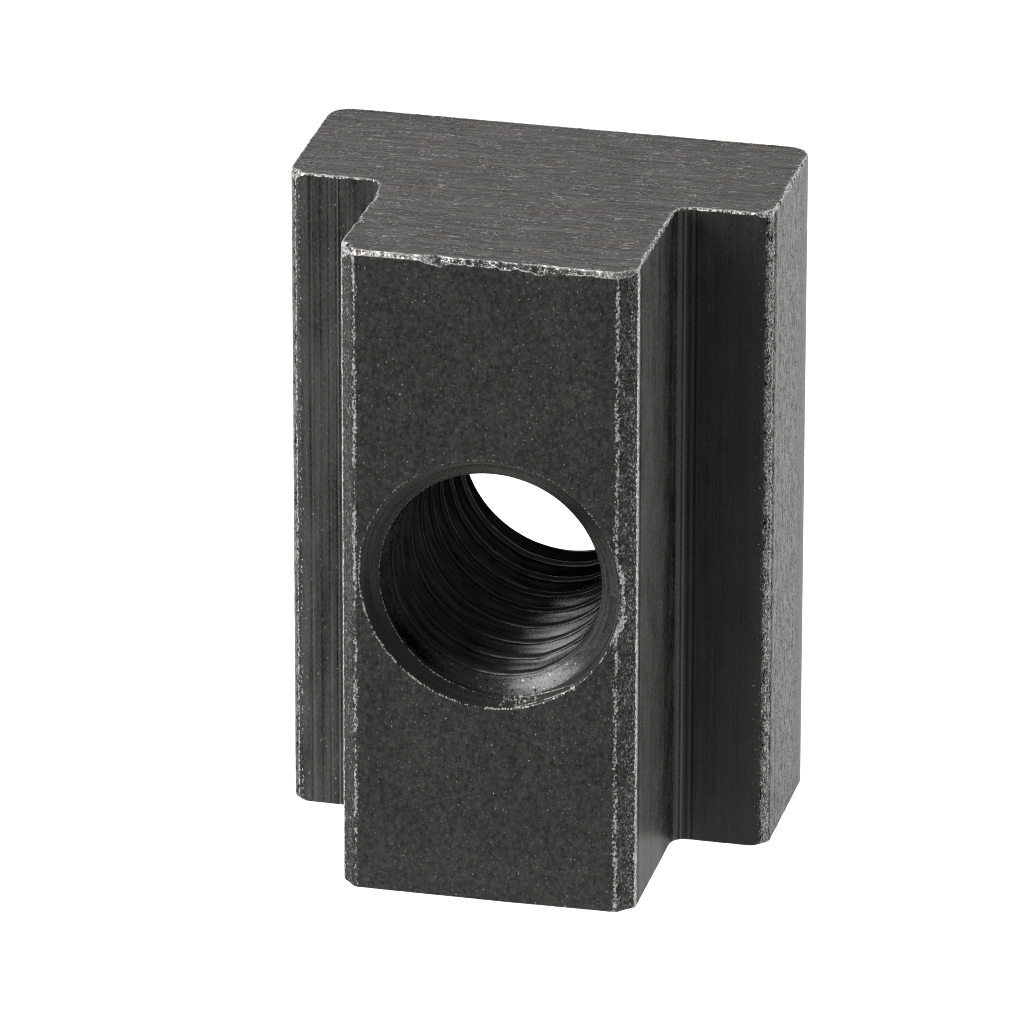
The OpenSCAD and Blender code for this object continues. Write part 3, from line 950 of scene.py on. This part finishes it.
def thread_steel():
    """The thread: nearly black, with painted light near the mouth on its right side, on its left side and deep inside,
    and small painted glints of bare steel where the key light falls on the first flank.
    """
    s = Shader("black_oxide_thread")
    dx, dz = s.X - HX, s.Z - HZ
    r = s.math("SQRT", dx * dx + dz * dz)
    turn = s.math("ARCTAN2", dz, dx)
    fine = s.noise(16, 16, 16, 53.0, 1.0)
    patch = s.noise(2.2, 2.2, 2.2, 54.0, 1.0)
    vary = 1.0 + (fine - 0.5) + (patch - 0.5)
    # painted light: the base colour is lighter near the mouth on the right side, on the left side and deep inside
    # towards the back, for how the light falls into the hole
    begin = s.smooth(1.5, 0.8, s.Y - Y0) * s.smooth(0.35, 0.8, dx / r)
    west = s.smooth(0.72, 0.98, -dx / r)
    deep = s.smooth(3.5, 7.0, s.Y - Y0)
    oxide = s.tone((0.003 + 0.034 * begin + 0.013 * west + 0.012 * deep) * s.most(vary, 0.2))
    along = s.noise(2.2, 13, 1, 55.0, 1.0, at=(turn, s.Y - Y0 + turn * (PITCH / (2 * math.pi)), r))
    first = s.smooth(1.9, 1.4, s.Y - Y0)
    lit = s.smooth(0.5, 0.9, (0.35 * dx - 0.94 * dz) / r)
    pit = first * s.smooth(0.0, 0.10, s.noise(9, 9, 9, 56.0, 0.0) - 0.78)
    glint = first * lit * 0.5 * s.smooth(0.0, 0.10, s.noise(14, 14, 14, 57.0, 0.0) - 0.76)
    rough = 0.25 + (fine - 0.5) * 0.06 + (patch - 0.5) * 0.16
    height = (fine - 0.5) * 0.0015 + (along - 0.5) * 0.012 - 0.008 * pit
    s.put(s.bsdf.inputs["Specular IOR Level"], s.most(0.34 + (0.40 * lit - 0.14) * first + (fine - 0.5) * (0.35 + 0.6 * first) + (along - 0.5) * 1.1 - 0.4 * pit, 0.0))
    return s.finish(s.mixed(oxide, (0.5, 0.49, 0.48), glint), 0.8 * glint, rough, height)


def crest_steel():
    """The thread's crests: dull and darker deeper in, with a thin line along each edge that is partly rubbed metal and
    partly painted highlight, a painted gleam where the key light falls, and painted light on the left side.
    """
    s = Shader("black_oxide_crest")
    dx, dz = s.X - HX, s.Z - HZ
    r = s.math("SQRT", dx * dx + dz * dz)
    turn = s.math("ARCTAN2", dz, dx)
    fine = s.noise(16, 16, 16, 53.0, 1.0)
    patch = s.noise(2.2, 2.2, 2.2, 54.0, 1.0)
    low = s.smooth(0.80, 0.96, (0.35 * dx - 0.94 * dz) / r)
    west = s.smooth(0.72, 0.98, -dx / r)
    phase = (s.Y - Y0 - LEAD) / PITCH + turn / (2 * math.pi)
    off = s.math("WRAP", phase, 0.5, -0.5)
    shine = 0.35 + 1.1 * s.smooth(0.30, 0.66, patch)
    deep = s.smooth(3.5, 7.0, s.Y - Y0)
    # painted highlight: the edge lines are partly rubbed metal and partly painted highlight, stronger deep inside where
    # light comes in from behind; gleam is a painted highlight where the key light falls, and west paints light on the
    # left side
    edge = s.most(s.line(off - 0.022, 0.045), deep * s.line(off - 0.03, 0.09), s.line(off + 0.285 + 0.045 * low, 0.065) * (0.8 - 0.7 * deep)) * shine
    gleam = low * s.most(s.smooth(-0.20, -0.33, off), 0.8 * s.smooth(-0.01, 0.03, off)) * (0.5 + 0.6 * shine) * (1.0 - 0.5 * deep)
    oxide = s.tone(0.036 - 0.014 * deep + (0.030 + 0.055 * s.smooth(1.5, 4.0, s.Y - Y0) + 0.20 * deep) * edge + 0.30 * gleam + (0.012 + 0.06 * edge) * west)
    s.bsdf.inputs["Specular IOR Level"].default_value = 0.0
    return s.finish(oxide, 0.0, 0.5, (fine - 0.5) * 0.002)


me.materials.clear()
for made in (drawn_steel(), face_steel(), sawn_steel(), mouth_steel(), thread_steel(), crest_steel(), side_steel()):
    me.materials.append(made)
me.polygons.foreach_set("material_index", kind)

# ------------------------------------------------------- floor, light and camera
floor_mesh = bpy.data.meshes.new("floor")
f = 3.0
floor_mesh.from_pydata([(-f, -f, 0), (f, -f, 0), (f, f, 0), (-f, f, 0)], [], [(0, 1, 2, 3)])
floor = bpy.data.objects.new("floor", floor_mesh)
floor.location.z = -0.00001
scene.collection.objects.link(floor)
def stage_light(tree, seen, lit, coordinate, y0, y1):
    """White where the camera sees the stage; the object gets the light of a room that is brighter behind it."""
    n = tree.nodes
    place = n.new("ShaderNodeTexCoord")
    parts = n.new("ShaderNodeSeparateXYZ")
    tree.links.new(place.outputs[coordinate], parts.inputs[0])
    ramp = n.new("ShaderNodeMapRange")
    ramp.interpolation_type = "SMOOTHSTEP"
    ramp.inputs["From Min"].default_value, ramp.inputs["From Max"].default_value = y0, y1
    ramp.inputs["To Min"].default_value, ramp.inputs["To Max"].default_value = lit
    tree.links.new(parts.outputs["Y"], ramp.inputs["Value"])
    path = n.new("ShaderNodeLightPath")
    pick = n.new("ShaderNodeMix")
    tree.links.new(path.outputs["Is Camera Ray"], pick.inputs[0])
    tree.links.new(ramp.outputs[0], pick.inputs[2])
    pick.inputs[3].default_value = seen
    return pick.outputs[0]


white = bpy.data.materials.new("studio_floor")
white.use_nodes = True
b = white.node_tree.nodes["Principled BSDF"]
b.inputs["Base Color"].default_value = (0.2, 0.2, 0.2, 1)
b.inputs["Roughness"].default_value = 0.9
b.inputs["Specular IOR Level"].default_value = 0.0
b.inputs["Emission Color"].default_value = (1, 1, 1, 1)
white.node_tree.links.new(stage_light(white.node_tree, 1.2, (0.22, 0.85), "Object", -0.03, 0.015), b.inputs["Emission Strength"])
floor_mesh.materials.append(white)

world = bpy.data.worlds.new("studio")
world.use_nodes = True
bg = world.node_tree.nodes["Background"]
bg.inputs["Color"].default_value = (1.0, 1.0, 1.0, 1)
world.node_tree.links.new(stage_light(world.node_tree, 1.2, (0.30, 0.90), "Generated", -0.5, 0.5), bg.inputs["Strength"])
scene.world = world


def softbox(name, direction, distance, size, radiance):
    light = bpy.data.lights.new(name, "AREA")
    light.shape, light.size = "SQUARE", size
    light.energy = radiance * math.pi * size * size
    ob = bpy.data.objects.new(name, light)
    d = Vector(direction).normalized()
    ob.location = Vector((0, 0, 0.011)) + d * distance
    ob.rotation_euler = d.to_track_quat("Z", "Y").to_euler()
    scene.collection.objects.link(ob)
    return ob


softbox("key", (-0.66, -0.65, 0.38), 0.3, 0.15, 11.0)

AZ, EL, ROLL = map(math.radians, (13.3566, 23.0747, 0.0862))
back = Vector((math.sin(AZ) * math.cos(EL), -math.cos(AZ) * math.cos(EL), math.sin(EL)))
right = (-back).cross(Vector((0, 0, 1))).normalized()
up = right.cross(-back)
right, up = right * math.cos(ROLL) + up * math.sin(ROLL), up * math.cos(ROLL) - right * math.sin(ROLL)
cam_data = bpy.data.cameras.new("camera")
cam_data.sensor_width = 36.0
cam_data.lens = 384.35
cam_data.clip_start, cam_data.clip_end = 0.01, 20.0
camera = bpy.data.objects.new("camera", cam_data)
spot = (Vector((0, 6 - 5.875, 11)) - right * 0.5378 - up * 0.2629 + back * 343.1216) * MM
camera.matrix_world = Matrix((
    (right.x, up.x, back.x, spot.x), (right.y, up.y, back.y, spot.y), (right.z, up.z, back.z, spot.z), (0, 0, 0, 1)))
scene.collection.objects.link(camera)
scene.camera = camera
scene.view_settings.view_transform = "Standard"
scene.view_settings.look = "None"
scene.cycles.use_denoising = False
scene.cycles.filter_width = 1.1

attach(nut, "root")
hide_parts("nut_body")
